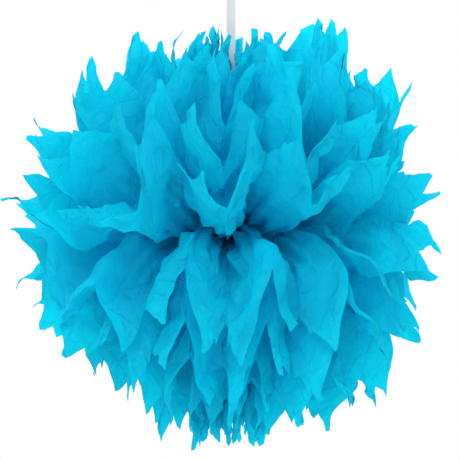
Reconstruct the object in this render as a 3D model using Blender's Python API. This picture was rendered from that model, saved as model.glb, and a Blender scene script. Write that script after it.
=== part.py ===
"""Tissue paper pom pom: ten pleated sheets gathered by a wire tie, hung on a satin ribbon.

Each sheet is one rectangle of tissue. It is folded like an accordion, cut to points at
both ends, tied at its middle and opened into a ring of petals. Half of the sheets are
pulled up and half are pulled down. Lengths are in metres and angles are in degrees. The
origin is the inside top of the ribbon's hanging loop, and the ball hangs below it.
"""

import math

import bmesh
import bpy
import numpy as np
from mathutils import Matrix, Vector, noise

# The sheets as they are folded
SHEET_COUNT = 10
PLEAT_COUNT = 13
PLEAT_WIDTH = 0.052
POINT_DEPTH = 0.034
PAPER_THICKNESS = 0.00015

# The gathered waist inside the wire
WAIST_WIDTH = 0.018
WAIST_BAND = 0.0050
WAIST_BULGE = 0.0060
WAIST_FADE = 0.8
WAIST_PLEAT = 0.0010
WAIST_LAYER = 0.0014

# The opened ball
BALL_RADIUS = 0.196
ROOT_TILT = 3.0
ROOT_STEP = 9.0
FIRST_TIP = 29.0
FIRST_TIP_AT_SIDES = 9.0
LAST_TIP = 81.0
FIRST_POWER = 2.6
LAST_POWER = 0.4
SEAM_GAP = 3.0
SEAM_TURN = 40.0
LEAST_OPENING = 2.2
SWING_LIMIT = 0.15
SWING_SLOPE = 2.2
AXIS_CLEARANCE = 0.0085

# How far the petals stray from an even ring
TIP_STRAY = 5.5
SHARED_STRAY = 11.0
LENGTH_STRAY = 0.010
SIDE_STRAY = 1.6
FOLD_STRAY = 1.0
STRAY_POWER = 1.5
DRIFT = 0.012
DRIFT_SIZE = 0.110
BUCKLE = 0.0052
BUCKLE_SIZE = 0.052
BUCKLE_PLACE = 7.3
BUCKLE_CALM = 0.10
PETAL_SEED = 11
DRIFT_SEED = 44

# The outline seen from the front: angle round the ball, how far it stands out, half width
OUTLINE_SWELLS = (
    (35.0, 0.006, 8.0),
    (68.0, 0.018, 8.0),
    (84.0, -0.030, 11.0),
    (108.0, -0.008, 9.0),
    (150.0, 0.010, 10.0),
    (188.0, 0.010, 14.0),
    (236.0, -0.019, 14.0),
    (280.0, -0.018, 14.0),
    (310.0, 0.010, 12.0),
    (344.0, 0.008, 12.0),
)

# How far hanging tips stray from the ball's middle plane: direction, degrees, half width
TIP_DROOPS = (
    (-100.0, -9.0, 40.0),
    (-12.0, 6.0, 22.0),
)

# The wire tie
WIRE_DIAMETER = 0.0010
WIRE_CLEARANCE = 0.0005
TWIST_HEIGHT = 0.008
TWIST_TURNS = 1.0
EYE_RADIUS = 0.0060
EYE_RISE = 0.0066
EYE_STEPS = 14
TWIST_STEPS = 10
BEND_STEPS = 3
EYE_START = -58.0
WIRE_ROUND_COUNT = 1

# The ribbon
RIBBON_WIDTH = 0.008
RIBBON_THICKNESS = 0.0005
RIBBON_CLEARANCE = 0.0005
KNOT_HEIGHT = 0.226
KNOT_SIZE = 0.0100
KNOT_DEPTH = 0.0050
KNOT_SINK = 0.15
LOW_KNOT_SIZE = 0.0060
GATHER_WIDTH = 0.0022
LOOP_HEIGHT = 0.034
LOOP_WIDTH = 0.012
LOOP_TAPER = 1.3
LOOP_STEPS = 10
LOOP_NECK_SHARES = (0.25, 0.5, 0.75)
WRAP_STEPS = 10

# Worked out from the sizes above
HALF_COUNT = SHEET_COUNT // 2
LINE_COUNT = 2 * PLEAT_COUNT + 1
LOOP_TOP = KNOT_HEIGHT + LOOP_HEIGHT
ROW_SHARES = (0.0, 0.12, 0.38, 0.69, 1.0)
NOTCH_REACH = BALL_RADIUS - POINT_DEPTH


def clear_scene():
    """Remove every object of the open scene."""
    for item in list(bpy.data.objects):
        bpy.data.objects.remove(item)


def make_material(name, colour, roughness, metallic=0.0):
    """Return a Principled material of one linear colour."""
    material = bpy.data.materials.new(name)
    material.use_nodes = True
    shader = material.node_tree.nodes["Principled BSDF"]
    shader.inputs["Base Color"].default_value = (*colour, 1.0)
    shader.inputs["Roughness"].default_value = roughness
    shader.inputs["Metallic"].default_value = metallic
    return material


def make_object(name, points, faces, material):
    """Return a mesh object that hangs below the origin by the height of the loop."""
    mesh = bpy.data.meshes.new(name)
    mesh.from_pydata([tuple(point) for point in points], [], faces)
    mesh.materials.append(material)
    thing = bpy.data.objects.new(name, mesh)
    thing.location = (0.0, 0.0, -LOOP_TOP)
    bpy.context.scene.collection.objects.link(thing)
    return thing


def petal_strays(rng):
    """Return the strays of each petal: elevation and reach, by end, sheet and line."""
    shape = (2, SHEET_COUNT, PLEAT_COUNT)
    tilt = rng.uniform(-1.0, 1.0, shape) * TIP_STRAY
    shared = rng.uniform(-1.0, 1.0, (2, 1, PLEAT_COUNT)) * SHARED_STRAY
    from_middle = np.abs(np.arange(SHEET_COUNT) - 0.5 * (SHEET_COUNT - 1)) - 0.5
    tilt = tilt + shared * (1.0 - from_middle / HALF_COUNT)[None, :, None]
    reach = rng.uniform(-1.0, 1.0, shape) * LENGTH_STRAY
    return at_lines(tilt), at_lines(reach)


def at_lines(petals):
    """Spread values of the petals over fold lines and middle lines, along the last axis."""
    lines = np.zeros(petals.shape[:-1] + (LINE_COUNT,))
    lines[..., 1::2] = petals
    lines[..., 2:-1:2] = 0.5 * (petals[..., 1:] + petals[..., :-1])
    lines[..., 0] = petals[..., 0]
    lines[..., -1] = petals[..., -1]
    return lines


def middle_elevation(share, turn):
    """Return the middle elevation in degrees where the sheets reach a share of the radius."""
    step = np.arange(HALF_COUNT)[None, :, None]
    both = np.stack((turn, math.pi - turn))[:, None, :]
    beside = np.cos(both + math.radians(SEAM_TURN)) ** 2
    first = FIRST_TIP + (FIRST_TIP_AT_SIDES - FIRST_TIP) * beside
    root = ROOT_TILT + ROOT_STEP * step
    tip = first + (LAST_TIP - first) * step / (HALF_COUNT - 1)
    power = FIRST_POWER + (LAST_POWER - FIRST_POWER) * step / (HALF_COUNT - 1)
    lower = root + (tip - root) * share[:, HALF_COUNT - 1::-1] ** power
    upper = root + (tip - root) * share[:, HALF_COUNT:] ** power
    middle = np.concatenate((-lower[:, ::-1], upper), axis=1)
    droop = np.zeros_like(both)
    for direction, degrees, spread in TIP_DROOPS:
        away = (np.degrees(both) + SEAM_TURN - direction + 180.0) % 360.0 - 180.0
        droop += degrees * np.exp(-0.5 * (away / spread) ** 2)
    return middle + droop * share ** 2 * np.cos(np.radians(middle)) ** 4


def keep_order(tilt, limit):
    """Keep each sheet above the one below it and clear of the axis, in place."""
    for sheet in range(HALF_COUNT + 1, SHEET_COUNT):
        tilt[:, sheet] = np.maximum(tilt[:, sheet], tilt[:, sheet - 1] + LEAST_OPENING)
    for sheet in range(HALF_COUNT - 2, -1, -1):
        tilt[:, sheet] = np.minimum(tilt[:, sheet], tilt[:, sheet + 1] - LEAST_OPENING)
    for sheet in range(SHEET_COUNT):
        spare = LEAST_OPENING * (SHEET_COUNT - 1 - sheet)
        tilt[:, sheet] = np.minimum(tilt[:, sheet], limit - spare)
        spare = LEAST_OPENING * sheet
        tilt[:, sheet] = np.maximum(tilt[:, sheet], spare - limit)


def pleat_swing(reach, tilt):
    """Return how far the folds swing from the middle, in degrees, so a pleat keeps its width."""
    panel = math.radians((180.0 - SEAM_GAP) / PLEAT_COUNT)
    chord = 2.0 * reach * math.sin(0.5 * panel) * np.cos(np.radians(tilt))
    swing = 0.5 * np.sqrt(np.maximum(PLEAT_WIDTH ** 2 - chord ** 2, 0.0))
    swing = np.minimum(swing, SWING_SLOPE * chord)
    return np.degrees(np.minimum(swing / reach, SWING_LIMIT))


def sheet_points():
    """Return the points of the sheets, by end, sheet, row and line."""
    rng = np.random.default_rng(PETAL_SEED)
    tilt_stray, reach_stray = petal_strays(rng)
    line = np.arange(LINE_COUNT)
    is_fold = line % 2 == 0
    zigzag = np.where(is_fold, np.where(line % 4 == 0, 1.0, -1.0), 0.0)
    turn = np.radians(-90.0 + 0.5 * SEAM_GAP + (180.0 - SEAM_GAP) * line / (LINE_COUNT - 1))
    root_y = WAIST_WIDTH * (line / (LINE_COUNT - 1) - 0.5)
    root_x = 0.5 * WAIST_BAND + WAIST_BULGE * np.sqrt(1.0 - (2.0 * root_y / WAIST_WIDTH) ** 2)
    root_z = WAIST_LAYER * (np.arange(SHEET_COUNT) - 0.5 * (SHEET_COUNT - 1))
    points = np.zeros((2, SHEET_COUNT, len(ROW_SHARES), LINE_COUNT, 3))
    sides = np.zeros((2, SHEET_COUNT, LINE_COUNT))
    sides[..., 1::2] = rng.uniform(-1.0, 1.0, (2, SHEET_COUNT, PLEAT_COUNT)) * SIDE_STRAY
    for row, share in enumerate(ROW_SHARES):
        reach = np.full((2, SHEET_COUNT, LINE_COUNT), share * NOTCH_REACH)
        if row == len(ROW_SHARES) - 1:
            reach = reach + reach_stray + np.where(is_fold, 0.0, POINT_DEPTH)
        tilt = np.zeros_like(reach)
        if row > 0:
            middle = middle_elevation(reach / BALL_RADIUS, turn)
            wander = rng.uniform(-1.0, 1.0, reach.shape) * FOLD_STRAY * share
            room = np.cos(np.radians(middle)) ** STRAY_POWER
            tilt = middle + (tilt_stray * share ** 2 + wander) * room
            tilt = tilt + zigzag * pleat_swing(reach, middle)
            limit = np.degrees(np.arccos(np.minimum(AXIS_CLEARANCE / reach.min(), 1.0)))
            keep_order(tilt, limit)
        around = turn[None, None, :] + np.radians(sides) * (row == len(ROW_SHARES) - 1)
        up = np.radians(tilt)
        flip = np.array([1.0, -1.0])[:, None, None]
        lowest = zigzag * 0.5 * WAIST_PLEAT
        spread = 1.0 - share * WAIST_FADE
        points[:, :, row, :, 0] = flip * (root_x * spread + reach * np.cos(up) * np.cos(around))
        points[:, :, row, :, 1] = root_y * spread + reach * np.cos(up) * np.sin(around)
        points[:, :, row, :, 2] = root_z[None, :, None] + lowest + reach * np.sin(up)
    return points


def drift(point):
    """Return where hand opening moves a point: a turn, soft wanders and the front outline."""
    turn = math.radians(SEAM_TURN)
    x = point.x * math.cos(turn) - point.y * math.sin(turn)
    y = point.x * math.sin(turn) + point.y * math.cos(turn)
    moved = Vector((x, y, point.z))
    share = min(moved.length / BALL_RADIUS, 1.0)
    fade = share * share * (3.0 - 2.0 * share)
    wander = noise.noise_vector(moved / DRIFT_SIZE) * DRIFT * fade
    place = moved / BUCKLE_SIZE + Vector((BUCKLE_PLACE,) * 3)
    calm = min(math.hypot(moved.x, moved.y) / BUCKLE_CALM, 1.0) ** 2
    wander += noise.noise_vector(place) * BUCKLE * fade * calm
    across = moved.x ** 2 + moved.z ** 2
    facing = across / max(moved.length_squared, 1e-9)
    angle = math.degrees(math.atan2(moved.z, moved.x)) % 360.0
    swell = 0.0
    for centre, rise, spread in OUTLINE_SWELLS:
        away = (angle - centre + 180.0) % 360.0 - 180.0
        swell += rise * math.exp(-0.5 * (away / spread) ** 2)
    outward = moved.normalized() * swell * facing * fade
    return moved + wander + outward


def build_sheets(material):
    """Build each sheet as one folded surface with the thickness of the paper."""
    noise.seed_set(DRIFT_SEED)
    points = sheet_points()
    faces = grid_faces(2 * len(ROW_SHARES), LINE_COUNT)
    for sheet in range(SHEET_COUNT):
        middle = np.concatenate((points[1, sheet, ::-1], points[0, sheet])).reshape(-1, 3)
        corners = [drift(Vector(point)) for point in middle]
        paper = make_object(f"tissue_sheet_{sheet + 1:02d}", corners, faces, material)
        wall = paper.modifiers.new("paper_thickness", "SOLIDIFY")
        wall.thickness = PAPER_THICKNESS
        wall.offset = 0.0
        wall.use_quality_normals = True


def grid_faces(rows, lines):
    """Return the triangles of a sheet, split so that they meet at the points of the petals."""
    faces = []
    for row in range(rows - 1):
        for line in range(lines - 1):
            a = row * lines + line
            b, c, d = a + lines, a + lines + 1, a + 1
            faces += [(a, b, c), (a, c, d)] if line % 2 else [(a, b, d), (b, c, d)]
    return faces


def twist_point(share, start):
    """Return a strand's place up the twist, which ends with the eye facing the ribbon."""
    base = waist_height() + 1.5 * WIRE_DIAMETER + WIRE_CLEARANCE
    angle = math.radians(start + (360.0 * TWIST_TURNS - SEAM_TURN) * share)
    apart = 0.5 * (WIRE_DIAMETER + WIRE_CLEARANCE)
    return Vector((apart * math.cos(angle), apart * math.sin(angle), base + TWIST_HEIGHT * share))


def waist_height():
    """Return the height of the wire's middle line over the gathered sheets."""
    stack = WAIST_LAYER * (SHEET_COUNT - 1) + WAIST_PLEAT + PAPER_THICKNESS
    return 0.5 * stack + WIRE_CLEARANCE + 0.5 * WIRE_DIAMETER


def wire_path():
    """Return the middle line of the tie: one twisted end, a turn round the waist, then the eye."""
    corner_y = 0.5 * WAIST_WIDTH
    corner_z = waist_height() - WIRE_CLEARANCE - 0.5 * WIRE_DIAMETER
    bend = WIRE_CLEARANCE + 0.5 * WIRE_DIAMETER
    apart = 0.5 * (WIRE_DIAMETER + WIRE_CLEARANCE)
    turn = Matrix.Rotation(math.radians(SEAM_TURN), 3, "Z")
    path = [twist_point(1.0 - step / TWIST_STEPS, SEAM_TURN + 180.0) for step in range(TWIST_STEPS + 1)]
    corners = ((-1, 1), (-1, -1), (1, -1), (1, 1))
    for number, (side, level) in enumerate(corners):
        for step in range(BEND_STEPS + 1):
            share = (number + step / BEND_STEPS) / len(corners)
            angle = math.radians(90.0 + 360.0 * share)
            y = side * corner_y + bend * math.cos(angle)
            z = level * corner_z + bend * math.sin(angle)
            path.append(turn @ Vector((apart * (2.0 * share - 1.0), y, z)))
    path += [twist_point(step / TWIST_STEPS, SEAM_TURN) for step in range(TWIST_STEPS + 1)]
    middle = eye_middle()
    for step in range(EYE_STEPS + 1):
        angle = math.radians(EYE_START + (360.0 - 2.0 * (EYE_START + 90.0)) * step / EYE_STEPS)
        path.append(middle + EYE_RADIUS * Vector((math.cos(angle), 0.0, math.sin(angle))))
    return path


def eye_middle():
    """Return the middle of the wire's eye, on the axis over the twist."""
    return Vector((0.0, 0.0, twist_point(1.0, 0.0).z + EYE_RISE))


def build_wire(material):
    """Build the wire tie as one bent round wire."""
    curve = bpy.data.curves.new("waist_wire", "CURVE")
    curve.dimensions = "3D"
    curve.bevel_depth = 0.5 * WIRE_DIAMETER
    curve.bevel_resolution = WIRE_ROUND_COUNT
    curve.use_fill_caps = True
    path = wire_path()
    spline = curve.splines.new("POLY")
    spline.points.add(len(path) - 1)
    for point, place in zip(spline.points, path):
        point.co = (*place, 1.0)
    curve.materials.append(material)
    wire = bpy.data.objects.new("waist_wire", curve)
    wire.location = (0.0, 0.0, -LOOP_TOP)
    bpy.context.scene.collection.objects.link(wire)


def band_mesh(name, path, width, closed):
    """Return a flat band that follows a path in the YZ plane, as wide as told along X."""
    corners = []
    count = len(path)
    for step, (y, z) in enumerate(path):
        before = path[step - 1] if closed or step else path[0]
        after = path[(step + 1) % count] if closed or step < count - 1 else path[-1]
        along = Vector((0.0, after[0] - before[0], after[1] - before[1])).normalized()
        thick = 0.5 * RIBBON_THICKNESS * Vector((0.0, -along.z, along.y))
        wide = Vector((0.5 * width, 0.0, 0.0))
        place = Vector((0.0, y, z))
        corners += [place - wide - thick, place + wide - thick, place + wide + thick, place - wide + thick]
    faces = []
    for step in range(count if closed else count - 1):
        here = 4 * step
        there = 4 * ((step + 1) % count)
        for side in range(4):
            after = (side + 1) % 4
            faces.append((here + side, here + after, there + after, there + side))
    if not closed:
        last = 4 * (count - 1)
        faces += [(3, 2, 1, 0), (last, last + 1, last + 2, last + 3)]
    mesh = bpy.data.meshes.new(name)
    mesh.from_pydata([tuple(corner) for corner in corners], [], faces)
    return mesh


def knot_mesh(name, height, size, depth):
    """Return a rounded knot on the axis."""
    shape = bmesh.new()
    bmesh.ops.create_icosphere(shape, subdivisions=2, radius=0.5)
    bmesh.ops.scale(shape, vec=(size, depth, size), verts=shape.verts)
    bmesh.ops.translate(shape, vec=(0.0, 0.0, height), verts=shape.verts)
    mesh = bpy.data.meshes.new(name)
    shape.to_mesh(mesh)
    shape.free()
    return mesh


def loop_path():
    """Return the hanging loop's line, a drop shape whose inside top is the origin's height."""
    bend = 0.5 * LOOP_WIDTH
    top = LOOP_TOP + 0.5 * RIBBON_THICKNESS - bend
    path = [(bend * math.cos(angle), top + bend * math.sin(angle)) for angle in loop_angles()]
    foot = KNOT_HEIGHT + KNOT_SINK * KNOT_SIZE
    for share in LOOP_NECK_SHARES:
        path.append((-bend * (1.0 - share) ** LOOP_TAPER, top + (foot - top) * share))
    path.append((0.0, foot - RIBBON_THICKNESS))
    for share in reversed(LOOP_NECK_SHARES):
        path.append((bend * (1.0 - share) ** LOOP_TAPER, top + (foot - top) * share))
    return path


def loop_angles():
    """Return the angles of the loop's round top, from one side to the other."""
    return [math.pi * step / LOOP_STEPS for step in range(LOOP_STEPS + 1)]


def build_ribbon(material):
    """Build the ribbon: a wrap through the eye, a knot, the strip, a knot and the loop."""
    eye_top = eye_middle().z + EYE_RADIUS
    wrap = 0.5 * WIRE_DIAMETER + RIBBON_CLEARANCE + 0.5 * RIBBON_THICKNESS
    angles = [2.0 * math.pi * step / WRAP_STEPS for step in range(WRAP_STEPS)]
    ring = [(wrap * math.cos(angle), eye_top + wrap * math.sin(angle)) for angle in angles]
    low_knot = eye_top + wrap + 0.5 * (LOW_KNOT_SIZE - RIBBON_THICKNESS)
    strip = [(0.0, low_knot), (0.0, KNOT_HEIGHT)]
    ribbon = bpy.data.objects.new("hanging_ribbon", band_mesh("strip", strip, RIBBON_WIDTH, False))
    bpy.context.scene.collection.objects.link(ribbon)
    pieces = (
        band_mesh("wrap", ring, GATHER_WIDTH, True),
        knot_mesh("low_knot", low_knot, LOW_KNOT_SIZE, KNOT_DEPTH),
        knot_mesh("top_knot", KNOT_HEIGHT, KNOT_SIZE, KNOT_DEPTH),
        band_mesh("loop", loop_path(), RIBBON_WIDTH, True),
    )
    for mesh in pieces:
        piece = bpy.data.objects.new("ribbon_" + mesh.name, mesh)
        piece.hide_render = True
        piece.display_type = "WIRE"
        piece.parent = ribbon
        bpy.context.scene.collection.objects.link(piece)
        join = ribbon.modifiers.new(mesh.name, "BOOLEAN")
        join.operation = "UNION"
        join.object = piece
    ribbon.data.materials.append(material)
    ribbon.location = (0.0, 0.0, -LOOP_TOP)


def main():
    """Build the pom pom."""
    clear_scene()
    tissue = make_material("cyan_tissue", (0.001, 0.578, 0.871), 0.75)
    steel = make_material("tie_wire_steel", (0.55, 0.55, 0.56), 0.35, 1.0)
    satin = make_material("grey_satin", (0.62, 0.62, 0.62), 0.45)
    build_sheets(tissue)
    build_wire(steel)
    build_ribbon(satin)


main()
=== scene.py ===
"""Tissue paper pom pom on a satin ribbon, dressed for its picture.

Ten sheets of cyan tissue are pleated like an accordion, cut to points at both ends, tied at
the middle with wire and pulled open into a ball. Each sheet is built here by the rule of the
folded sheet, with the creases, curls and torn slivers of handled tissue. Lengths are in metres
and angles in degrees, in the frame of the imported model: +Z is up and the hook is at the origin.
"""

import logging
import math
from dataclasses import dataclass
from enum import Enum
from typing import Any, Sequence

import bpy
import numpy as np
from mathutils import Matrix, Vector, noise


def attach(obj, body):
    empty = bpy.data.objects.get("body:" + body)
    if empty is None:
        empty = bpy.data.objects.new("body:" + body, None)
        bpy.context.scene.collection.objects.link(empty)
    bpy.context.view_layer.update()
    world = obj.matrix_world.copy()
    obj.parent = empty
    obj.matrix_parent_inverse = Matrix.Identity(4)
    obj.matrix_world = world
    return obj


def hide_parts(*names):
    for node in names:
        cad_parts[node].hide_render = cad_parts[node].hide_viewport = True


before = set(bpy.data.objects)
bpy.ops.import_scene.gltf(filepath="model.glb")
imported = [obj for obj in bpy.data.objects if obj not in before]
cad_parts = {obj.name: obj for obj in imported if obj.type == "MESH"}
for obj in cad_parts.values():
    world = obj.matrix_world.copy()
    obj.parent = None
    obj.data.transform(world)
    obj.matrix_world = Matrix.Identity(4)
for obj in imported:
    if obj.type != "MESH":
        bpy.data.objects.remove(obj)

LOG = logging.getLogger("pom_pom")
BODY = "root"
MM = 0.001
FLAT_UV = "flat_sheet"


class Slot(Enum):
    """The material slots of the part."""

    TISSUE = "tissue"
    WIRE = "tie_wire"
    RIBBON = "ribbon"


def linear(colour: str) -> tuple[float, float, float, float]:
    """Turn an sRGB hex colour to linear light.

    Args:
        colour: six hex digits after a hash.

    Returns:
        Red, green, blue and an alpha of 1.
    """
    shares = [int(colour[i:i + 2], 16) / 255.0 for i in (1, 3, 5)]
    light = [c / 12.92 if c <= 0.04045 else ((c + 0.055) / 1.055) ** 2.4 for c in shares]
    return light[0], light[1], light[2], 1.0


def add_node(tree: bpy.types.NodeTree, kind: str, inputs: dict | None = None, **settings: Any) -> Any:
    """Add a node with its settings and its links.

    Args:
        tree: the node tree it goes into.
        kind: the node's type name.
        inputs: by socket name or number, a value or the output socket that feeds it.
        settings: the node's own properties.

    Returns:
        The new node.
    """
    node = tree.nodes.new(kind)
    for name, value in settings.items():
        setattr(node, name, value)
    for key, value in (inputs or {}).items():
        if isinstance(value, bpy.types.NodeSocket):
            tree.links.new(value, node.inputs[key])
        else:
            node.inputs[key].default_value = value
    return node


def new_material(name: str) -> tuple[bpy.types.Material, bpy.types.NodeTree, Any]:
    """Start a material.

    Args:
        name: the material's name.

    Returns:
        The material, its cleared tree and its output node.
    """
    material = bpy.data.materials.new(name)
    material.use_nodes = True
    tree = material.node_tree
    tree.nodes.clear()
    return material, tree, tree.nodes.new("ShaderNodeOutputMaterial")


def new_mesh_object(name: str, points: Sequence, faces: Sequence, edges: Sequence = ()) -> bpy.types.Object:
    """Make a mesh object at the origin, with its place in its mesh.

    Args:
        name: the object's name.
        points: the corners.
        faces: the faces, as corner numbers.
        edges: loose edges, as pairs of corner numbers.

    Returns:
        The linked object.
    """
    mesh = bpy.data.meshes.new(name)
    mesh.from_pydata([tuple(p) for p in points], [tuple(e) for e in edges], [tuple(f) for f in faces])
    mesh.update()
    thing = bpy.data.objects.new(name, mesh)
    bpy.context.scene.collection.objects.link(thing)
    return thing


@dataclass(frozen=True)
class TissueFinish:
    """Dyed machine-glazed tissue: matte, thin enough to glow where light comes through."""

    front: str = "#04c7e1"
    cloud: str = "#0cdaee"
    through: str = "#0ad6f0"
    through_share: float = 0.66
    roughness: float = 0.60
    gloss: float = 0.12
    cloud_size: float = 6.0 * MM
    fibre_size: float = 1.6 * MM
    crease_size: float = 17.0 * MM
    crease_depth: float = 1.0 * MM
    wrinkle_size: float = 6.0 * MM
    wrinkle_depth: float = 0.36 * MM

    def material(self) -> bpy.types.Material:
        """Return the tissue: clouds of fibre in its colour, fine creases and wrinkles in its face."""
        material, tree, output = new_material("dyed_glazed_tissue")
        flat = add_node(tree, "ShaderNodeUVMap", uv_map=FLAT_UV).outputs["UV"]
        cloud = add_node(tree, "ShaderNodeTexNoise", {
            "Vector": flat, "Scale": 1.0 / self.cloud_size, "Detail": 3.0, "Roughness": 0.6})
        fibre = add_node(tree, "ShaderNodeTexNoise", {
            "Vector": flat, "Scale": 1.0 / self.fibre_size, "Detail": 2.0, "Roughness": 0.55})
        mottle = add_node(tree, "ShaderNodeMath", {
            0: cloud.outputs["Fac"], 1: fibre.outputs["Fac"]}, operation="MULTIPLY")
        spread = add_node(tree, "ShaderNodeMapRange", {
            "Value": mottle.outputs[0], "From Min": 0.12, "From Max": 0.42})
        colour = add_node(tree, "ShaderNodeMixRGB", {
            0: spread.outputs["Result"], 1: linear(self.front), 2: linear(self.cloud)})
        warp = add_node(tree, "ShaderNodeTexNoise", {
            "Vector": flat, "Scale": 1.0 / (2.0 * self.crease_size), "Detail": 2.0})
        bent = add_node(tree, "ShaderNodeVectorMath", {
            0: warp.outputs["Color"], 1: (self.crease_size,) * 3, 2: flat}, operation="MULTIPLY_ADD")
        crease = add_node(tree, "ShaderNodeTexVoronoi", {
            "Vector": bent.outputs[0], "Scale": 1.0 / self.crease_size}, feature="DISTANCE_TO_EDGE")
        fold = add_node(tree, "ShaderNodeMapRange", {
            "Value": crease.outputs["Distance"], "From Max": 0.16}, interpolation_type="SMOOTHSTEP")
        wrinkle = add_node(tree, "ShaderNodeTexNoise", {
            "Vector": flat, "Scale": 1.0 / self.wrinkle_size, "Detail": 4.0, "Roughness": 0.62})
        first = add_node(tree, "ShaderNodeBump", {
            "Height": fold.outputs["Result"], "Distance": self.crease_depth, "Strength": 0.9})
        second = add_node(tree, "ShaderNodeBump", {
            "Height": wrinkle.outputs["Fac"], "Distance": self.wrinkle_depth * 4.0,
            "Strength": 0.9, "Normal": first.outputs["Normal"]})
        face = add_node(tree, "ShaderNodeBsdfPrincipled", {
            "Base Color": colour.outputs["Color"], "Roughness": self.roughness,
            "Specular IOR Level": self.gloss, "Normal": second.outputs["Normal"]})
        glow = add_node(tree, "ShaderNodeBsdfTranslucent", {
            "Color": linear(self.through), "Normal": second.outputs["Normal"]})
        both = add_node(tree, "ShaderNodeMixShader", {
            0: self.through_share, 1: face.outputs[0], 2: glow.outputs[0]})
        tree.links.new(both.outputs[0], output.inputs["Surface"])
        return material


@dataclass(frozen=True)
class SatinFinish:
    """Woven polyester satin: a soft stripe of light across fine threads."""

    colour: str = "#cecdcb"
    thread: str = "#c2c1bf"
    thread_size: float = 0.35 * MM
    roughness: float = 0.42

    def material(self) -> bpy.types.Material:
        """Return the satin: threads along the ribbon, drawn coarser than the real 0.1 mm to show."""
        material, tree, output = new_material("polyester_satin")
        flat = add_node(tree, "ShaderNodeUVMap", uv_map=FLAT_UV).outputs["UV"]
        weave = add_node(tree, "ShaderNodeTexWave", {
            "Vector": flat, "Scale": 0.31 / self.thread_size / 2.0, "Distortion": 0.4},
            bands_direction="X")
        colour = add_node(tree, "ShaderNodeMixRGB", {
            0: weave.outputs["Fac"], 1: linear(self.thread), 2: linear(self.colour)})
        bump = add_node(tree, "ShaderNodeBump", {
            "Height": weave.outputs["Fac"], "Distance": 0.05 * MM, "Strength": 0.5})
        face = add_node(tree, "ShaderNodeBsdfPrincipled", {
            "Base Color": colour.outputs["Color"], "Roughness": self.roughness,
            "Sheen Weight": 0.25, "Normal": bump.outputs["Normal"]})
        tree.links.new(face.outputs[0], output.inputs["Surface"])
        return material


@dataclass(frozen=True)
class WireFinish:
    """Drawn mild steel wire: dull grey, with fine lines along it left by the die."""

    colour: str = "#8f9092"
    roughness: float = 0.38
    die_line: float = 0.4 * MM

    def material(self) -> bpy.types.Material:
        """Return the wire's steel, with patches of duller skin."""
        material, tree, output = new_material("drawn_steel_wire")
        place = add_node(tree, "ShaderNodeTexCoord").outputs["Object"]
        skin = add_node(tree, "ShaderNodeTexNoise", {
            "Vector": place, "Scale": 1.0 / self.die_line, "Detail": 3.0})
        rough = add_node(tree, "ShaderNodeMapRange", {
            "Value": skin.outputs["Fac"], "To Min": self.roughness - 0.08, "To Max": self.roughness + 0.14})
        bump = add_node(tree, "ShaderNodeBump", {
            "Height": skin.outputs["Fac"], "Distance": 0.02 * MM, "Strength": 0.4})
        face = add_node(tree, "ShaderNodeBsdfPrincipled", {
            "Base Color": linear(self.colour), "Metallic": 1.0,
            "Roughness": rough.outputs["Result"], "Normal": bump.outputs["Normal"]})
        tree.links.new(face.outputs[0], output.inputs["Surface"])
        return material


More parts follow.
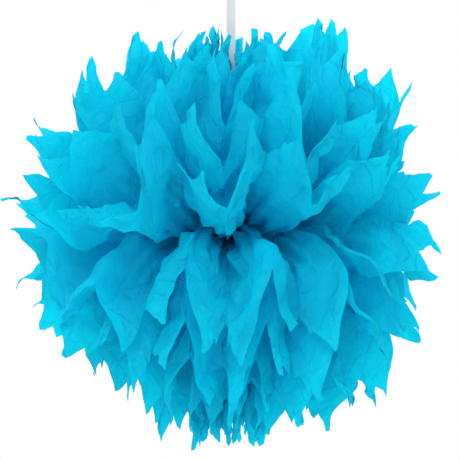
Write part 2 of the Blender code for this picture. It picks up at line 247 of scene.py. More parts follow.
@dataclass
class PleatedSheets:
    """Ten pleated sheets, tied at the middle and pulled open into a ball."""

    sheet_count: int = 10
    pleat_count: int = 13
    pleat_width: float = 0.052
    point_depth: float = 0.034
    paper_thickness: float = 0.00015
    waist_width: float = 0.018
    waist_band: float = 0.0050
    waist_bulge: float = 0.0060
    waist_fade: float = 0.8
    waist_pleat: float = 0.0010
    waist_layer: float = 0.0014
    ball_radius: float = 0.196
    root_tilt: float = 3.0
    root_step: float = 9.0
    first_tip: float = 29.0
    first_tip_at_sides: float = 9.0
    last_tip: float = 81.0
    first_power: float = 2.6
    last_power: float = 0.4
    seam_gap: float = 3.0
    seam_turn: float = 40.0
    least_opening: float = 2.2
    swing_limit: float = 0.15
    swing_slope: float = 2.2
    axis_clearance: float = 0.0085
    tip_stray: float = 5.5
    shared_stray: float = 11.0
    length_stray: float = 0.010
    side_stray: float = 1.6
    fold_stray: float = 1.0
    stray_power: float = 1.5
    drift: float = 0.012
    drift_size: float = 0.110
    petal_seed: int = 11
    drift_seed: int = 44
    row_shares: tuple[float, ...] = (0.0, 0.12, 0.38, 0.69, 1.0)
    outline_swells: tuple[tuple[float, float, float], ...] = (
        (35.0, 0.006, 8.0), (68.0, 0.018, 8.0), (84.0, -0.022, 11.0), (108.0, -0.008, 9.0),
        (150.0, 0.010, 10.0), (188.0, 0.010, 14.0), (236.0, -0.019, 14.0),
        (280.0, -0.018, 14.0), (310.0, 0.010, 12.0), (344.0, 0.008, 12.0))
    tip_droops: tuple[tuple[float, float, float], ...] = ((-100.0, -9.0, 40.0), (-12.0, 6.0, 22.0))
    middle_drop: float = 0.260

    columns_per_line: int = 10
    rows_to_bend: int = 5
    rows_to_open: int = 26
    rows_to_tip: int = 28
    detail_seed: int = 4
    buckle_size: float = 0.052
    buckle: float = 0.0052
    buckle_place: float = 7.3
    buckle_calm: float = 0.10
    curl: float = 0.008
    sway: float = 0.007
    jag: float = 0.0009
    gather_waves: tuple[int, int] = (2, 4)
    gather_cap: float = 0.0032
    gather_inner: float = 0.50
    gather_outer: float = 0.86
    gather_left: float = 0.10
    gather_at_poles: float = 1.0
    crease_bands: tuple[tuple[float, float, int], ...] = (
        (0.062, 0.0060, 5), (0.033, 0.0032, 7), (0.015, 0.0006, 5))
    tooth_bend: tuple[float, float] = (0.9, 1.3)
    spare_teeth: float = 0.34
    spare_place: tuple[float, float] = (0.12, 0.30)
    spare_height: tuple[float, float] = (0.45, 0.80)
    spare_width: float = 0.10
    slivers: float = 0.30
    sliver_columns: tuple[int, int] = (3, 7)
    sliver_length: tuple[float, float] = (0.12, 0.30)

    def __post_init__(self) -> None:
        """Work out the counts and angles that follow from the sizes."""
        self.half_count = self.sheet_count // 2
        self.line_count = 2 * self.pleat_count + 1
        self.column_count = (self.line_count - 1) * self.columns_per_line + 1
        self.notch_reach = self.ball_radius - self.point_depth
        self.column = np.linspace(0.0, self.line_count - 1, self.column_count)
        self.panel = np.minimum((self.column / 2).astype(int), self.pleat_count - 1)
        self.inside = 0.5 * self.column - self.panel
        low, middle, high = self.row_shares[1], self.row_shares[3], self.row_shares[4]
        self.row = np.concatenate((
            np.linspace(0.0, low, self.rows_to_bend, endpoint=False),
            np.linspace(low, middle, self.rows_to_open, endpoint=False),
            np.linspace(middle, high, self.rows_to_tip + 1)))

    def across(self, lines: np.ndarray) -> np.ndarray:
        """Spread values at fold and middle lines over all columns, smooth inside each panel.

        Args:
            lines: values, the last axis being the fold and middle lines.

        Returns:
            The same values with a column axis in place of the line axis.
        """
        s = self.inside
        left, middle, right = (lines[..., 2 * self.panel + k] for k in range(3))
        return (1 - s) * (1 - 2 * s) * left + 4 * s * (1 - s) * middle + s * (2 * s - 1) * right

    def at_lines(self, petals: np.ndarray) -> np.ndarray:
        """Spread values of the petals over fold lines and middle lines.

        Args:
            petals: values, the last axis being the petals.

        Returns:
            The same values with a line axis in place of the petal axis.
        """
        lines = np.zeros(petals.shape[:-1] + (self.line_count,))
        lines[..., 1::2] = petals
        lines[..., 2:-1:2] = 0.5 * (petals[..., 1:] + petals[..., :-1])
        lines[..., 0] = petals[..., 0]
        lines[..., -1] = petals[..., -1]
        return lines

    def middle_elevation(self, share: np.ndarray, turn: np.ndarray) -> np.ndarray:
        """Return how far each sheet rises from the waist's plane, before its pleats swing.

        Args:
            share: how far out the paper reaches, by end, sheet, row and column.
            turn: the direction round the ball of each column, in radians.

        Returns:
            Elevations in degrees, by end, sheet, row and column.
        """
        step = np.arange(self.half_count)[None, :, None, None]
        both = np.stack((turn, math.pi - turn))[:, None, None, :]
        beside = np.cos(both + math.radians(self.seam_turn)) ** 2
        first = self.first_tip + (self.first_tip_at_sides - self.first_tip) * beside
        root = self.root_tilt + self.root_step * step
        tip = first + (self.last_tip - first) * step / (self.half_count - 1)
        power = self.first_power + (self.last_power - self.first_power) * step / (self.half_count - 1)
        lower = root + (tip - root) * share[:, self.half_count - 1::-1] ** power
        upper = root + (tip - root) * share[:, self.half_count:] ** power
        middle = np.concatenate((-lower[:, ::-1], upper), axis=1)
        droop = np.zeros_like(both)
        for direction, degrees, spread in self.tip_droops:
            away = (np.degrees(both) + self.seam_turn - direction + 180.0) % 360.0 - 180.0
            droop += degrees * np.exp(-0.5 * (away / spread) ** 2)
        return middle + droop * share ** 2 * np.cos(np.radians(middle)) ** 4

    def keep_order(self, tilt: np.ndarray, limit: np.ndarray) -> None:
        """Keep each sheet above the one below it and clear of the axis, in place.

        Args:
            tilt: elevations in degrees, by end, sheet, row and column.
            limit: the steepest elevation at each row, in degrees.
        """
        least = self.least_opening
        for sheet in range(self.half_count + 1, self.sheet_count):
            tilt[:, sheet] = np.maximum(tilt[:, sheet], tilt[:, sheet - 1] + least)
        for sheet in range(self.half_count - 2, -1, -1):
            tilt[:, sheet] = np.minimum(tilt[:, sheet], tilt[:, sheet + 1] - least)
        for sheet in range(self.sheet_count):
            above = (limit - least * (self.sheet_count - 1 - sheet))[None, :, None]
            below = (least * sheet - limit)[None, :, None]
            tilt[:, sheet] = np.maximum(np.minimum(tilt[:, sheet], above), below)

    def pleat_swing(self, reach: np.ndarray, tilt: np.ndarray) -> np.ndarray:
        """Return how far the folds swing up and down, so that a pleat keeps its width.

        Args:
            reach: distance from the waist.
            tilt: elevation in degrees.

        Returns:
            The swing in degrees.
        """
        panel = math.radians((180.0 - self.seam_gap) / self.pleat_count)
        chord = 2.0 * reach * math.sin(0.5 * panel) * np.cos(np.radians(tilt))
        swing = 0.5 * np.sqrt(np.maximum(self.pleat_width ** 2 - chord ** 2, 0.0))
        swing = np.minimum(swing, self.swing_slope * chord)
        return np.degrees(np.minimum(swing / np.maximum(reach, 1e-6), self.swing_limit))

    def cut_profile(self, rng: np.random.Generator) -> np.ndarray:
        """Return how far each column's cut edge stands past the notches, as a share of a point.

        Args:
            rng: the source of the odd teeth and jagged spots.

        Returns:
            Shares by end, sheet and column.
        """
        s = self.inside
        plain = 1.0 - np.abs(2.0 * s - 1.0)
        shape = np.zeros((2, self.sheet_count, self.column_count))
        for end in range(2):
            for sheet in range(self.sheet_count):
                bend = rng.uniform(*self.tooth_bend, self.pleat_count)[self.panel]
                tooth = plain ** bend
                second = rng.uniform(0.0, 1.0, self.pleat_count)[self.panel] < self.spare_teeth
                place = rng.uniform(*self.spare_place, self.pleat_count)[self.panel]
                tall = rng.uniform(*self.spare_height, self.pleat_count)[self.panel]
                flip = rng.uniform(0.0, 1.0, self.pleat_count)[self.panel] < 0.5
                side = np.where(flip, 1.0 - s, s)
                spare = tall * np.maximum(1.0 - np.abs(side - place) / self.spare_width, 0.0)
                edge = np.where(second, np.maximum(tooth, spare), tooth)
                torn = rng.uniform(0.0, 1.0, self.pleat_count) < self.slivers
                where = rng.integers(*self.sliver_columns, self.pleat_count)
                where = np.where(flip[::2 * self.columns_per_line][:self.pleat_count],
                                 2 * self.columns_per_line - where, where)
                long = rng.uniform(*self.sliver_length, self.pleat_count)
                column = 2 * self.columns_per_line * np.arange(self.pleat_count) + where
                edge[column[torn]] += long[torn]
                shape[end, sheet] = edge
        return shape

    def gathers(self, reach: np.ndarray, middle: np.ndarray, swing: np.ndarray) -> np.ndarray:
        """Return how deep the gathers are that take up the paper the fan has no room for.

        Args:
            reach: distance from the waist.
            middle: elevation of the sheet in degrees.
            swing: how far the folds swing, in degrees.

        Returns:
            The height of the waves, by end, sheet, row and column.
        """
        panel = math.radians((180.0 - self.seam_gap) / self.pleat_count)
        chord = 2.0 * reach * math.sin(0.5 * panel) * np.cos(np.radians(middle))
        wide = np.maximum(np.hypot(chord, 2.0 * reach * np.radians(swing)), 0.0005)
        spare = np.sqrt(np.maximum((self.pleat_width / wide) ** 2 - 1.0, 0.0))
        depth = np.minimum(wide / (4.0 * self.gather_waves[0]) * spare, self.gather_cap)
        share = reach / self.ball_radius
        fade = np.clip((self.gather_outer - share) / (self.gather_outer - self.gather_inner), 0.0, 1.0)
        fade = fade * fade * (3.0 - 2.0 * fade)
        steep = np.sin(np.radians(np.abs(middle))) ** 6 * self.gather_at_poles
        left = np.maximum(self.gather_left, steep)
        return depth * np.clip(share / 0.10, 0.0, 1.0) * (left + (1.0 - left) * fade)

    def surface(self) -> tuple[np.ndarray, np.ndarray, np.ndarray]:
        """Return the smooth folded sheets before hand opening bends them.

        Returns:
            Points by end, sheet, row, column and axis, then by end, sheet, row and column
            the distance along the paper and the depth of the gathers.
        """
        rng = np.random.default_rng(self.petal_seed)
        shape = (2, self.sheet_count, self.pleat_count)
        tilt_stray = rng.uniform(-1.0, 1.0, shape) * self.tip_stray
        shared = rng.uniform(-1.0, 1.0, (2, 1, self.pleat_count)) * self.shared_stray
        from_middle = np.abs(np.arange(self.sheet_count) - 0.5 * (self.sheet_count - 1)) - 0.5
        tilt_stray = tilt_stray + shared * (1.0 - from_middle / self.half_count)[None, :, None]
        tilt_stray = self.across(self.at_lines(tilt_stray))[:, :, None, :]
        reach_stray = self.at_lines(rng.uniform(-1.0, 1.0, shape) * self.length_stray)
        sides = np.zeros((2, self.sheet_count, self.line_count))
        sides[..., 1::2] = rng.uniform(-1.0, 1.0, shape) * self.side_stray
        wander = np.zeros((2, self.sheet_count, len(self.row_shares), self.line_count))
        for number in range(1, len(self.row_shares)):
            drawn = rng.uniform(-1.0, 1.0, (2, self.sheet_count, self.line_count))
            wander[:, :, number] = drawn * self.fold_stray * self.row_shares[number]
        wander = self.down_rows(self.across(wander))

        line = np.arange(self.line_count)
        corners = np.where(line % 2, 0.0, np.where(line % 4 == 0, 1.0, -1.0))
        zigzag = np.interp(self.column, line, corners)
        turn = np.radians(-90.0 + 0.5 * self.seam_gap
                          + (180.0 - self.seam_gap) * self.column / (self.line_count - 1))
        root_y = self.waist_width * (self.column / (self.line_count - 1) - 0.5)
        root_x = 0.5 * self.waist_band + self.waist_bulge * np.sqrt(
            np.maximum(1.0 - (2.0 * root_y / self.waist_width) ** 2, 0.0))
        root_z = self.waist_layer * (np.arange(self.sheet_count) - 0.5 * (self.sheet_count - 1))

        detail = np.random.default_rng(self.detail_seed)
        end_reach = self.notch_reach + np.stack([np.stack([
            np.interp(self.column, line, reach_stray[end, sheet]) for sheet in range(self.sheet_count)])
            for end in range(2)])
        end_reach = end_reach + self.point_depth * self.cut_profile(detail)
        end_reach = end_reach + detail.normal(0.0, 0.5 * self.jag, end_reach.shape)

        last = np.clip((self.row - self.row_shares[3]) / (1.0 - self.row_shares[3]), 0.0, 1.0)
        straight = (np.minimum(self.row, self.row_shares[3]) * self.notch_reach)[None, None, :, None]
        reach = straight + last[None, None, :, None] * (
            end_reach[:, :, None, :] - self.row_shares[3] * self.notch_reach)
        share = self.row[None, None, :, None]
        middle = self.middle_elevation(reach / self.ball_radius, turn)
        room = np.cos(np.radians(middle)) ** self.stray_power
        tilt = middle + (tilt_stray * share ** 2 + wander) * room
        swing = self.pleat_swing(reach, middle)
        tilt = tilt + zigzag * swing
        nearest = np.maximum(reach.min(axis=(0, 1, 3)), self.axis_clearance)
        self.keep_order(tilt, np.degrees(np.arccos(self.axis_clearance / nearest)))

        side = np.radians(self.across(sides))[:, :, None, :] * last[None, None, :, None]
        around = turn[None, None, None, :] + side
        up = np.radians(tilt)
        flip = np.array([1.0, -1.0])[:, None, None, None]
        spread = 1.0 - share * self.waist_fade
        points = np.stack((
            flip * (root_x * spread + reach * np.cos(up) * np.cos(around)),
            root_y * spread + reach * np.cos(up) * np.sin(around),
            root_z[None, :, None, None] + 0.5 * self.waist_pleat * zigzag + reach * np.sin(up)), axis=-1)
        bend = self.rows_to_bend
        for row in range(1, bend):
            part = self.row[row] / self.row[bend]
            points[:, :, row] = (1.0 - part) * points[:, :, 0] + part * points[:, :, bend]
        return points, reach, self.gathers(reach, middle, swing)

    def down_rows(self, values: np.ndarray) -> np.ndarray:
        """Spread values at the main rows over all rows, with soft bends.

        Args:
            values: values by end, sheet, main row and column.

        Returns:
            The same values for each fine row.
        """
        place = np.interp(self.row, self.row_shares, np.arange(len(self.row_shares)))
        low = np.minimum(place.astype(int), len(self.row_shares) - 2)
        part = place - low
        part = (part * part * (3.0 - 2.0 * part))[None, None, :, None]
        return values[:, :, low] * (1.0 - part) + values[:, :, low + 1] * part

    def hand_opened(self, points: np.ndarray) -> np.ndarray:
        """Move points as hand opening does: a turn, soft wanders and the ball's own outline.

        Args:
            points: points in the ball's own frame.

        Returns:
            The moved points, in the same shape.
        """
        noise.seed_set(self.drift_seed)
        flat = points.reshape(-1, 3)
        turn = math.radians(self.seam_turn)
        spin = np.array(Matrix.Rotation(turn, 3, "Z"))
        flat = flat @ spin.T
        length = np.linalg.norm(flat, axis=1)
        share = np.minimum(length / self.ball_radius, 1.0)
        fade = share * share * (3.0 - 2.0 * share)
        wide = np.array([noise.noise_vector(p) for p in (flat / self.drift_size).tolist()])
        places = flat / self.buckle_size + self.buckle_place
        fine = np.array([noise.noise_vector(p) for p in places.tolist()])
        facing = (flat[:, 0] ** 2 + flat[:, 2] ** 2) / np.maximum(length ** 2, 1e-9)
        angle = np.degrees(np.arctan2(flat[:, 2], flat[:, 0])) % 360.0
        swell = np.zeros(len(flat))
        for centre, rise, spread in self.outline_swells:
            away = (angle - centre + 180.0) % 360.0 - 180.0
            swell += rise * np.exp(-0.5 * (away / spread) ** 2)
        outward = flat / np.maximum(length, 1e-6)[:, None] * (swell * facing * fade)[:, None]
        moved = flat + wide * (self.drift * fade)[:, None] + outward
        calm = np.minimum(np.hypot(flat[:, 0], flat[:, 1]) / self.buckle_calm, 1.0) ** 2
        moved += fine * (self.buckle * fade * calm)[:, None]
        return moved.reshape(points.shape)

    def crumple(self, flat: np.ndarray, rng: np.random.Generator) -> np.ndarray:
        """Return the height of the sharp creases that handling leaves in a sheet.

        Args:
            flat: places on the flat sheet, in metres.
            rng: the source of the creases' directions and places.

        Returns:
            Heights in metres.
        """
        height = np.zeros(flat.shape[:-1])
        x, y = flat[..., 0], flat[..., 1]
        for size, depth, count in self.crease_bands:
            for _ in range(count):
                angle, start, patch = rng.uniform(0.0, math.pi), rng.uniform(), rng.uniform(0.0, 6.3, 3)
                along = x * math.cos(angle) + y * math.sin(angle)
                side = y * math.cos(angle) - x * math.sin(angle)
                warp = 0.22 * np.sin(side / size * 2.1 + patch[0])
                warp = warp + 0.15 * np.sin(side / size * 4.7 + patch[1])
                wave = np.abs((along / size + start + warp) % 1.0 - 0.5) * 2.0 - 0.5
                mask = np.sin(side / size * 1.3 + patch[2]) * np.sin(along / size * 0.9 + patch[1])
                height += depth * wave * np.clip(0.5 + 0.9 * mask, 0.0, 1.0)
        return height

    def detailed(self, sheet: int, points: np.ndarray, flat: np.ndarray, reach: np.ndarray,
                 depth: np.ndarray) -> np.ndarray:
        """Give one sheet its creases, gathers, curls and swaying points.

        Args:
            sheet: the sheet's number, from 0.
            points: its points by row and column, from tip to tip.
            flat: places on the flat sheet, in metres, by row and column.
            reach: distance from the waist, by row and column.
            depth: the depth of the gathers, by row and column.

        Returns:
            The detailed points.
        """
        rng = np.random.default_rng((self.detail_seed, sheet))
        down = np.gradient(points, axis=0)
        side = np.gradient(points, axis=1)
        side /= np.maximum(np.linalg.norm(side, axis=-1, keepdims=True), 1e-9)
        normal = np.cross(down, side)
        normal /= np.maximum(np.linalg.norm(normal, axis=-1, keepdims=True), 1e-9)
        share = np.clip(reach / self.ball_radius, 0.0, 1.0)
        open_share = np.clip((share - 0.12) / 0.45, 0.0, 1.0)
        height = self.crumple(flat, rng) * open_share
        shared = np.random.default_rng(self.detail_seed)
        waves = shared.integers(*self.gather_waves, self.pleat_count)[self.panel]
        lean = 0.10 * np.sin(2.0 * math.pi * self.inside)
        height += depth * np.sin(2.0 * math.pi * waves * (self.inside + lean * np.sin(30.0 * reach)))
        rows = len(points) // 2
        bulge = np.sin(math.pi * self.inside)
        for end, picked in ((1, slice(0, rows)), (0, slice(rows, 2 * rows))):
            curl = rng.uniform(-1.0, 1.0, self.pleat_count)[self.panel] * self.curl
            sway = rng.normal(0.0, 0.5, self.pleat_count)[self.panel] * self.sway
            far = np.clip((reach[picked] / self.ball_radius - 0.55) / 0.45, 0.0, 1.2)
            height[picked] += curl * far ** 2 * bulge
            tip = np.clip((reach[picked] - self.notch_reach) / self.point_depth, 0.0, 1.2) ** 1.5
            points[picked] += side[picked] * (sway * tip)[..., None]
        return points + normal * height[..., None]

    def build(self) -> list[bpy.types.Object]:
        """Build the sheets.

        Returns:
            One object for each sheet.
        """
        points, reach, depth = self.surface()
        points = self.hand_opened(points)
        points[..., 2] -= self.middle_drop
        rows, columns = 2 * len(self.row), self.column_count
        corner = (np.arange(rows - 1)[:, None] * columns + np.arange(columns - 1)[None, :]).ravel()
        faces = np.stack((corner, corner + columns, corner + columns + 1, corner + 1), axis=1)
        half_width = 0.5 * self.pleat_width
        made = []
        for sheet in range(self.sheet_count):
            grid = np.concatenate((points[1, sheet, ::-1], points[0, sheet]))
            out = np.concatenate((reach[1, sheet, ::-1], reach[0, sheet]))
            deep = np.concatenate((depth[1, sheet, ::-1], depth[0, sheet]))
            away = np.concatenate((-reach[1, sheet, ::-1], reach[0, sheet]))
            flat = np.stack((np.broadcast_to(self.column * half_width, away.shape), away), axis=-1)
            grid = self.detailed(sheet, grid, flat + (1.7 * sheet, 0.0), out, deep)
            name = f"tissue_sheet_{sheet + 1:02d}"
            paper = new_mesh_object("folded_" + name, grid.reshape(-1, 3).tolist(), faces.tolist())
            self.lay_flat_uv(paper.data, flat.reshape(-1, 2) + (1.7 * sheet, 0.0))
            self.crease_folds(paper.data)
            made.append(paper)
        return made

    def lay_flat_uv(self, mesh: bpy.types.Mesh, flat: np.ndarray) -> None:
        """Give a sheet the map of its own flat cut, in metres.

        Args:
            mesh: the sheet's mesh.
            flat: the flat place of each corner.
        """
        layer = mesh.uv_layers.new(name=FLAT_UV)
        corner = np.zeros(len(mesh.loops), dtype=np.int64)
        mesh.loops.foreach_get("vertex_index", corner)
        layer.data.foreach_set("uv", flat[corner].ravel())

    def crease_folds(self, mesh: bpy.types.Mesh) -> None:
        """Shade a sheet smooth, apart from its accordion folds, which stay sharp.

        Args:
            mesh: the sheet's mesh.
        """
        mesh.shade_smooth()
        ends = np.zeros(2 * len(mesh.edges), dtype=np.int64)
        mesh.edges.foreach_get("vertices", ends)
        first, second = ends[0::2] % self.column_count, ends[1::2] % self.column_count
        fold = (first == second) & (first % (2 * self.columns_per_line) == 0)
        mark = mesh.attributes.new("sharp_edge", "BOOLEAN", "EDGE")
        mark.data.foreach_set("value", fold)

    def dress(self, sheets: Sequence[bpy.types.Object], tissue: bpy.types.Material) -> None:
        """Give the sheets their tissue and set them in the frame.

        Args:
            sheets: the objects that build made.
            tissue: the tissue's material.
        """
        for number, paper in enumerate(sheets):
            paper.data.materials.append(tissue)
            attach(paper, BODY)
            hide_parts(f"tissue_sheet_{number + 1:02d}")
            LOG.info("%s: %d faces", paper.name, len(paper.data.polygons))


@dataclass
class WaistWire:
    """The wire tie round the gathered middle, with a twist and an eye over it."""

    sheets: PleatedSheets
    diameter: float = 0.0010
    clearance: float = 0.0005
    twist_height: float = 0.008
    twist_turns: float = 1.0
    eye_radius: float = 0.0060
    eye_rise: float = 0.0066
    eye_start: float = -58.0
    eye_steps: int = 40
    twist_steps: int = 30
    bend_steps: int = 6
    round_steps: int = 10

    def waist_height(self) -> float:
        """Return the height of the wire's middle line over the gathered sheets."""
        sheets = self.sheets
        stack = sheets.waist_layer * (sheets.sheet_count - 1) + sheets.waist_pleat + sheets.paper_thickness
        return 0.5 * stack + self.clearance + 0.5 * self.diameter

    def twist_point(self, share: float, start: float) -> Vector:
        """Return a strand's place up the twist.

        Args:
            share: how far up the twist, from 0 to 1.
            start: the strand's direction at the twist's foot, in degrees.

        Returns:
            The place in the ball's own frame.
        """
        base = self.waist_height() + 1.5 * self.diameter + self.clearance
        angle = math.radians(start + (360.0 * self.twist_turns - self.sheets.seam_turn) * share)
        apart = 0.5 * (self.diameter + self.clearance)
        return Vector((apart * math.cos(angle), apart * math.sin(angle), base + self.twist_height * share))

    def eye_middle(self) -> Vector:
        """Return the middle of the eye, in the ball's own frame."""
        return Vector((0.0, 0.0, self.twist_point(1.0, 0.0).z + self.eye_rise))

    def path(self) -> list[Vector]:
        """Return the wire's middle line: one end up the twist, round the waist, up again, the eye."""
        corner_y = 0.5 * self.sheets.waist_width
        corner_z = self.waist_height() - self.clearance - 0.5 * self.diameter
        bend = self.clearance + 0.5 * self.diameter
        apart = 0.5 * (self.diameter + self.clearance)
        seam = self.sheets.seam_turn
        turn = Matrix.Rotation(math.radians(seam), 3, "Z")
        steps = range(self.twist_steps + 1)
        line = [self.twist_point(1.0 - step / self.twist_steps, seam + 180.0) for step in steps]
        corners = ((-1, 1), (-1, -1), (1, -1), (1, 1))
        for number, (side, level) in enumerate(corners):
            for step in range(self.bend_steps + 1):
                share = (number + step / self.bend_steps) / len(corners)
                angle = math.radians(90.0 + 360.0 * share)
                y = side * corner_y + bend * math.cos(angle)
                z = level * corner_z + bend * math.sin(angle)
                line.append(turn @ Vector((apart * (2.0 * share - 1.0), y, z)))
        line += [self.twist_point(step / self.twist_steps, seam) for step in steps]
        for step in range(self.eye_steps + 1):
            sweep = 360.0 - 2.0 * (self.eye_start + 90.0)
            angle = math.radians(self.eye_start + sweep * step / self.eye_steps)
            line.append(self.eye_middle() + self.eye_radius * Vector((math.cos(angle), 0.0, math.sin(angle))))
        return [point - Vector((0.0, 0.0, self.sheets.middle_drop)) for point in line]

    def tube_tree(self, steel: bpy.types.Material) -> bpy.types.NodeTree:
        """Build the tree that draws a round wire along a line of edges.

        Args:
            steel: the wire's material.

        Returns:
            The Geometry Nodes tree, with inputs for the radius and the round steps.
        """
        tree = bpy.data.node_groups.new("round_wire", "GeometryNodeTree")
        sockets = tree.interface
        sockets.new_socket("Geometry", in_out="INPUT", socket_type="NodeSocketGeometry")
        sockets.new_socket("Wire Radius", in_out="INPUT", socket_type="NodeSocketFloat")
        sockets.new_socket("Round Steps", in_out="INPUT", socket_type="NodeSocketInt")
        sockets.new_socket("Geometry", in_out="OUTPUT", socket_type="NodeSocketGeometry")
        given = add_node(tree, "NodeGroupInput")
        line = add_node(tree, "GeometryNodeMeshToCurve", {"Mesh": given.outputs["Geometry"]})
        ring = add_node(tree, "GeometryNodeCurvePrimitiveCircle", {
            "Resolution": given.outputs["Round Steps"], "Radius": given.outputs["Wire Radius"]})
        tube = add_node(tree, "GeometryNodeCurveToMesh", {
            "Curve": line.outputs["Curve"], "Profile Curve": ring.outputs["Curve"], "Fill Caps": True})
        smooth = add_node(tree, "GeometryNodeSetShadeSmooth", {"Geometry": tube.outputs["Mesh"]})
        real = add_node(tree, "GeometryNodeRealizeInstances", {"Geometry": smooth.outputs["Geometry"]})
        finish = add_node(tree, "GeometryNodeSetMaterial", {
            "Geometry": real.outputs["Geometry"], "Material": steel})
        add_node(tree, "NodeGroupOutput", {"Geometry": finish.outputs["Geometry"]})
        return tree

    def build(self, steel: bpy.types.Material) -> bpy.types.Object:
        """Build the wire as one bent round wire.

        Args:
            steel: the wire's material.

        Returns:
            The wire's object.
        """
        line = self.path()
        edges = [(i, i + 1) for i in range(len(line) - 1)]
        seed = new_mesh_object("wire_line", line, [], edges)
        values = {"Wire Radius": 0.5 * self.diameter, "Round Steps": self.round_steps}
        return grow(seed, self.tube_tree(steel), values, "bound_waist_wire")

    def dress(self, wire: bpy.types.Object) -> None:
        """Set the wire in the frame."""
        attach(wire, BODY)
        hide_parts("waist_wire")
        LOG.info("%s: %d faces", wire.name, len(wire.data.polygons))


def grow(seed: bpy.types.Object, tree: bpy.types.NodeTree, values: dict[str, Any],
         name: str) -> bpy.types.Object:
    """Run a Geometry Nodes tree on an object and keep its result as a plain mesh.

    Args:
        seed: the object that the tree starts from. It is removed.
        tree: the tree.
        values: the tree's inputs, by their names.
        name: the name of the new object.

    Returns:
        The new object.
    """
    modifier = seed.modifiers.new("grow", "NODES")
    modifier.node_group = tree
    for item in tree.interface.items_tree:
        if item.in_out == "INPUT" and item.name in values:
            modifier[item.identifier] = values[item.name]
    depsgraph = bpy.context.evaluated_depsgraph_get()
    mesh = bpy.data.meshes.new_from_object(seed.evaluated_get(depsgraph))
    mesh.name = name
    thing = bpy.data.objects.new(name, mesh)
    bpy.context.scene.collection.objects.link(thing)
    bpy.data.objects.remove(seed)
    return thing


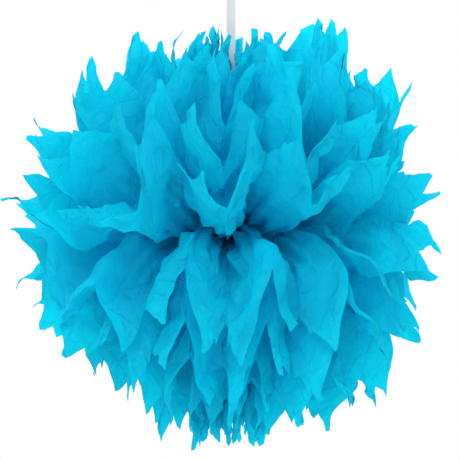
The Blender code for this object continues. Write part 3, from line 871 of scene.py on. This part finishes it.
@dataclass
class HangingRibbon:
    """One satin ribbon, tied to the wire's eye and knotted into a hanging loop."""

    wire: WaistWire
    width: float = 0.008
    thickness: float = 0.0005
    selvedge: float = 0.0006
    eye_clearance: float = 0.0005
    gather_width: float = 0.0022
    knot_height: float = 0.226
    knot_size: float = 0.0100
    knot_depth: float = 0.0050
    low_knot_size: float = 0.0060
    loop_height: float = 0.034
    loop_width: float = 0.012
    loop_taper: float = 1.3
    knot_sink: float = 0.15
    step: float = 0.002
    knot_steps: int = 72

    def section(self, width: float, thickness: float) -> list[tuple[float, float]]:
        """Return the ribbon's cross-section, with a round selvedge at each side.

        Args:
            width: the ribbon's width.
            thickness: the ribbon's thickness.

        Returns:
            Corners as pairs, along the width and along the thickness.
        """
        w, t, edge = 0.5 * width, 0.5 * thickness, min(self.selvedge, 0.2 * width)
        right = [(w - edge, -0.75 * t), (w - 0.6 * edge, -t), (w - 0.15 * edge, -0.7 * t), (w, 0.0),
                 (w - 0.15 * edge, 0.7 * t), (w - 0.6 * edge, t), (w - edge, 0.75 * t)]
        return right + [(-x, -y) for x, y in right]

    def sweep(self, line: Sequence[Vector], wide: Sequence[Vector], sizes: Sequence[tuple[float, float]],
              closed: bool) -> tuple[list, list, list]:
        """Sweep the cross-section along a line.

        Args:
            line: the points followed.
            wide: the direction of the ribbon's width at each point.
            sizes: the width and thickness at each point.
            closed: whether the last point joins the first.

        Returns:
            Corners, faces and the flat place of each corner.
        """
        corners, faces, flat = [], [], []
        count, run = len(line), 0.0
        for i, place in enumerate(line):
            before = line[i - 1] if closed or i else line[0]
            after = line[(i + 1) % count] if closed or i < count - 1 else line[-1]
            along = (after - before).normalized()
            side = (wide[i] - along * wide[i].dot(along)).normalized()
            thick = along.cross(side)
            run += (place - line[i - 1]).length if i else 0.0
            for x, y in self.section(*sizes[i]):
                corners.append(place + side * x + thick * y)
                flat.append((x, run))
        ring = len(self.section(*sizes[0]))
        for i in range(count if closed else count - 1):
            here, there = ring * i, ring * ((i + 1) % count)
            for k in range(ring):
                after = (k + 1) % ring
                faces.append((here + k, here + after, there + after, there + k))
        if not closed:
            last = ring * (count - 1)
            faces += [tuple(range(ring))[::-1], tuple(range(last, last + ring))]
        return corners, faces, flat

    def knot(self, height: float, size: float) -> tuple[list, list, list]:
        """Return an overhand knot of gathered ribbon round the axis.

        Args:
            height: the knot's middle, in the ball's own frame.
            size: how wide and high it is.

        Returns:
            Corners, faces and flat places, as sweep gives them.
        """
        line, wide = [], []
        band = (0.42 * size, 0.16 * size)
        reach = 0.5 * (size - band[1]) / 3.0
        deep = 0.5 * (self.knot_depth - band[1])
        for step in range(self.knot_steps):
            t = 2.0 * math.pi * step / self.knot_steps
            x = reach * (math.sin(t) + 2.0 * math.sin(2.0 * t))
            z = reach * (math.cos(t) - 2.0 * math.cos(2.0 * t))
            y = -deep * math.sin(3.0 * t)
            line.append(Vector((x, y, height + z)))
            wide.append(Vector((-z, 3.0 * deep, x)).normalized())
        return self.sweep(line, wide, [band] * self.knot_steps, True)

    def loop_line(self) -> list[Vector]:
        """Return the hanging loop's line, from the knot round the top and back to the knot."""
        bend = 0.5 * self.loop_width
        top = self.knot_height + self.loop_height + 0.5 * self.thickness - bend
        foot = self.knot_height + self.knot_sink * self.knot_size
        shares = np.linspace(1.0, 0.0, 12, endpoint=False)
        right = [Vector((0.0, bend * (1.0 - s) ** self.loop_taper, top + (foot - top) * s)) for s in shares]
        arc = [Vector((0.0, bend * math.cos(a), top + bend * math.sin(a)))
               for a in np.linspace(0.0, math.pi, 21)]
        left = [Vector((0.0, -p.y, p.z)) for p in reversed(right)]
        return right + arc + left

    def build(self) -> bpy.types.Object:
        """Build the ribbon: round the eye, a knot, the strip, a knot and the loop.

        Returns:
            The ribbon's object.
        """
        eye_top = self.wire.eye_middle().z + self.wire.eye_radius
        wrap = 0.5 * self.wire.diameter + self.eye_clearance + 0.5 * self.thickness
        low = eye_top + wrap + 0.5 * (self.low_knot_size - self.thickness)
        ring = [Vector((0.0, wrap * math.cos(a), eye_top + wrap * math.sin(a)))
                for a in np.linspace(0.0, 2.0 * math.pi, 24, endpoint=False)]
        count = int((self.knot_height - low) / self.step)
        strip = [Vector((0.0, 0.0, z)) for z in np.linspace(low, self.knot_height, count)]
        sizes = []
        for place in strip:
            near = min(place.z - low, self.knot_height - place.z) / self.width
            narrow = 1.0 - 0.45 * math.exp(-1.5 * max(near, 0.0))
            sizes.append((self.width * narrow, self.thickness * (1.0 + 0.8 * (1.0 - narrow))))
        loop = self.loop_line()
        across = Vector((1.0, 0.0, 0.0))
        gathered = (self.gather_width, self.thickness)
        full = (self.width, self.thickness)
        shapes = (
            self.sweep(ring, [across] * len(ring), [gathered] * len(ring), True),
            self.knot(low, self.low_knot_size),
            self.sweep(strip, [across] * len(strip), sizes, False),
            self.knot(self.knot_height, self.knot_size),
            self.sweep(loop, [across] * len(loop), [full] * len(loop), False),
        )
        corners, faces, flat = [], [], []
        for points, sides, places in shapes:
            faces += [tuple(len(corners) + k for k in side) for side in sides]
            corners += points
            flat += places
        drop = Vector((0.0, 0.0, self.wire.sheets.middle_drop))
        ribbon = new_mesh_object("satin_hanging_ribbon", [p - drop for p in corners], faces)
        ribbon.data.shade_smooth()
        self.wire.sheets.lay_flat_uv(ribbon.data, np.array(flat))
        self.route = [Vector((0.0, 0.0, z)) - drop for z in np.linspace(eye_top + wrap, self.knot_height, 40)]
        self.route += [p - drop for p in loop]
        return ribbon

    def dress(self, ribbon: bpy.types.Object, satin: bpy.types.Material) -> None:
        """Give the ribbon its satin and set it in the frame.

        Args:
            ribbon: the object that build made.
            satin: the ribbon's material.
        """
        ribbon.data.materials.append(satin)
        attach(ribbon, BODY)
        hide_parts("hanging_ribbon")


@dataclass
class Studio:
    """A white room with soft lamps, and the camera level with the ball."""

    distance: float = 1.8
    frame_width: float = 0.4265
    sensor: float = 36.0
    aim: tuple[float, float, float] = (-0.0009, 0.0, -0.2572)
    floor_drop: float = 0.80
    floor_size: float = 4.4
    lamps: tuple[tuple[str, tuple[float, float, float], float, float], ...] = (
        ("key_softbox", (-0.5, -1.5, 1.4), 0.9, 26.0),
        ("fill_softbox", (1.1, -1.5, -0.9), 1.0, 20.0),
        ("back_softbox", (0.2, 1.6, 0.9), 1.6, 16.0),
    )
    ambient: float = 0.88

    def build(self) -> None:
        """Build the room, the lamps and the camera."""
        self.add_world()
        self.add_floor()
        target = Vector(self.aim)
        for name, place, size, power in self.lamps:
            lamp = bpy.data.lights.new(name, "AREA")
            lamp.shape = "SQUARE"
            lamp.size = size
            lamp.energy = power
            holder = bpy.data.objects.new(name, lamp)
            holder.location = Vector(place) + target
            holder.rotation_euler = (-Vector(place)).to_track_quat("-Z", "Y").to_euler()
            bpy.context.scene.collection.objects.link(holder)
        camera = bpy.data.cameras.new("level_camera")
        camera.sensor_width = self.sensor
        camera.lens = self.sensor * self.distance / self.frame_width
        holder = bpy.data.objects.new("level_camera", camera)
        holder.location = target + Vector((0.0, -self.distance, 0.0))
        holder.rotation_euler = (math.radians(90.0), 0.0, 0.0)
        bpy.context.scene.collection.objects.link(holder)
        bpy.context.scene.camera = holder
        bpy.context.scene.view_settings.view_transform = "Standard"

    def seen(self, tree: bpy.types.NodeTree) -> Any:
        """Return the socket that is 1 where the camera sees a thing, directly, mirrored or through."""
        path = add_node(tree, "ShaderNodeLightPath")
        first = add_node(tree, "ShaderNodeMath", {
            0: path.outputs["Is Camera Ray"], 1: path.outputs["Is Glossy Ray"]}, operation="MAXIMUM")
        both = add_node(tree, "ShaderNodeMath", {
            0: first.outputs[0], 1: path.outputs["Is Transmission Ray"]}, operation="MAXIMUM")
        return both.outputs[0]

    def add_world(self) -> None:
        """Fill the room with soft white light, and show plain white behind the ball."""
        world = bpy.data.worlds.new("white_room")
        world.use_nodes = True
        tree = world.node_tree
        tree.nodes.clear()
        soft = add_node(tree, "ShaderNodeBackground", {"Color": linear("#ffffff"), "Strength": self.ambient})
        white = add_node(tree, "ShaderNodeBackground", {"Color": linear("#ffffff"), "Strength": 1.0})
        mix = add_node(tree, "ShaderNodeMixShader", {
            0: self.seen(tree), 1: soft.outputs[0], 2: white.outputs[0]})
        add_node(tree, "ShaderNodeOutputWorld", {"Surface": mix.outputs[0]})
        bpy.context.scene.world = world

    def add_floor(self) -> None:
        """Lay a pale floor well under the ball, which keeps its shadow."""
        half, low = 0.5 * self.floor_size, -self.floor_drop
        corners = [(-half, -half, low), (half, -half, low), (half, half, low), (-half, half, low)]
        floor = new_mesh_object("pale_floor", corners, [(0, 1, 2, 3)])
        material, tree, output = new_material("matte_white_board")
        face = add_node(tree, "ShaderNodeBsdfPrincipled", {
            "Base Color": linear("#f4f4f2"), "Roughness": 0.9, "Specular IOR Level": 0.2})
        tree.links.new(face.outputs[0], output.inputs["Surface"])
        floor.data.materials.append(material)


def main() -> None:
    """Build the studio and the pom pom's pieces, in the order in which it is made."""
    logging.basicConfig(level=logging.INFO)
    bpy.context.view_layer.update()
    studio = Studio()
    studio.build()
    sheets = PleatedSheets()
    wire = WaistWire(sheets)
    ribbon = HangingRibbon(wire)
    wire.dress(wire.build(WireFinish().material()))
    sheets.dress(sheets.build(), TissueFinish().material())
    ribbon.dress(ribbon.build(), SatinFinish().material())


if __name__ == "__main__":
    main()
